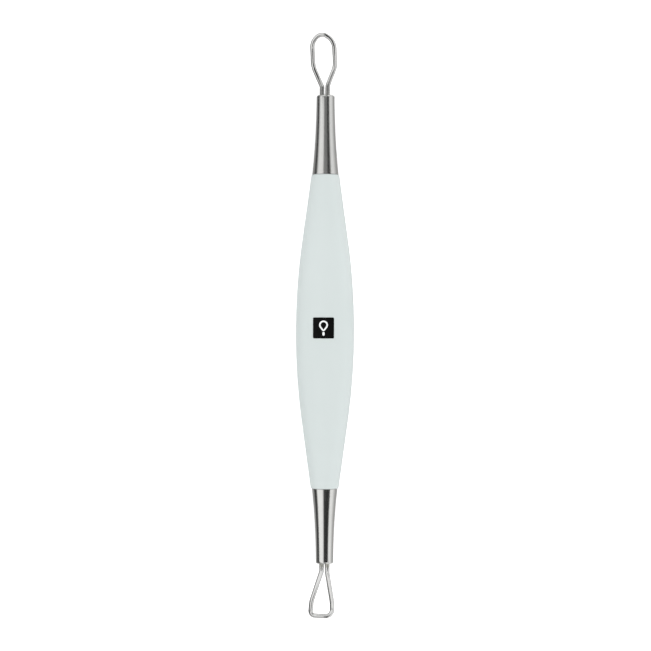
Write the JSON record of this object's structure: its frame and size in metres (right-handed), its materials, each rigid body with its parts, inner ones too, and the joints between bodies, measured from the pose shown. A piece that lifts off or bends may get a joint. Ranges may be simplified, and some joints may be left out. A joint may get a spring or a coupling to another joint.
{
  "type": "comedone extractor",
  "caption": "Slim beauty hand tool: an oval pale plastic handle with a steel ferrule at each end. The upper ferrule holds a pear-shaped wire loop, the lower a triangular one.",
  "frame": {"origin": "on the resting surface, below the middle of the overall length, with the tool lying on its back", "axes": "+Y along the tool to the pear-shaped loop, +Z out of the printed front, +X to the right seen from the front"},
  "size_m": [0.0124, 0.125, 0.0072],
  "materials": {
    "handle_plastic": "satin moulded, cool off-white",
    "satin_steel": "fine-turned satin stainless steel",
    "polished_steel": "turned and polished stainless steel",
    "wire_steel": "bright drawn stainless spring wire",
    "solder": "dull grey silver solder",
    "adhesive": "cured clear epoxy",
    "print_black": "pad-printed ink, satin",
    "print_white": "pad-printed ink, satin"
  },
  "bodies": {
    "root": {"handle": "handle_plastic", "upper_ferrule": "satin_steel", "lower_ferrule": "polished_steel", "upper_loop": "wire_steel", "lower_loop": "wire_steel", "upper_loop_solder": "solder", "lower_loop_solder": "solder", "upper_tang_adhesive": "adhesive", "lower_tang_adhesive": "adhesive", "emblem_panel": "print_black", "emblem_mark": "print_white"}
  },
  "joints": []
}
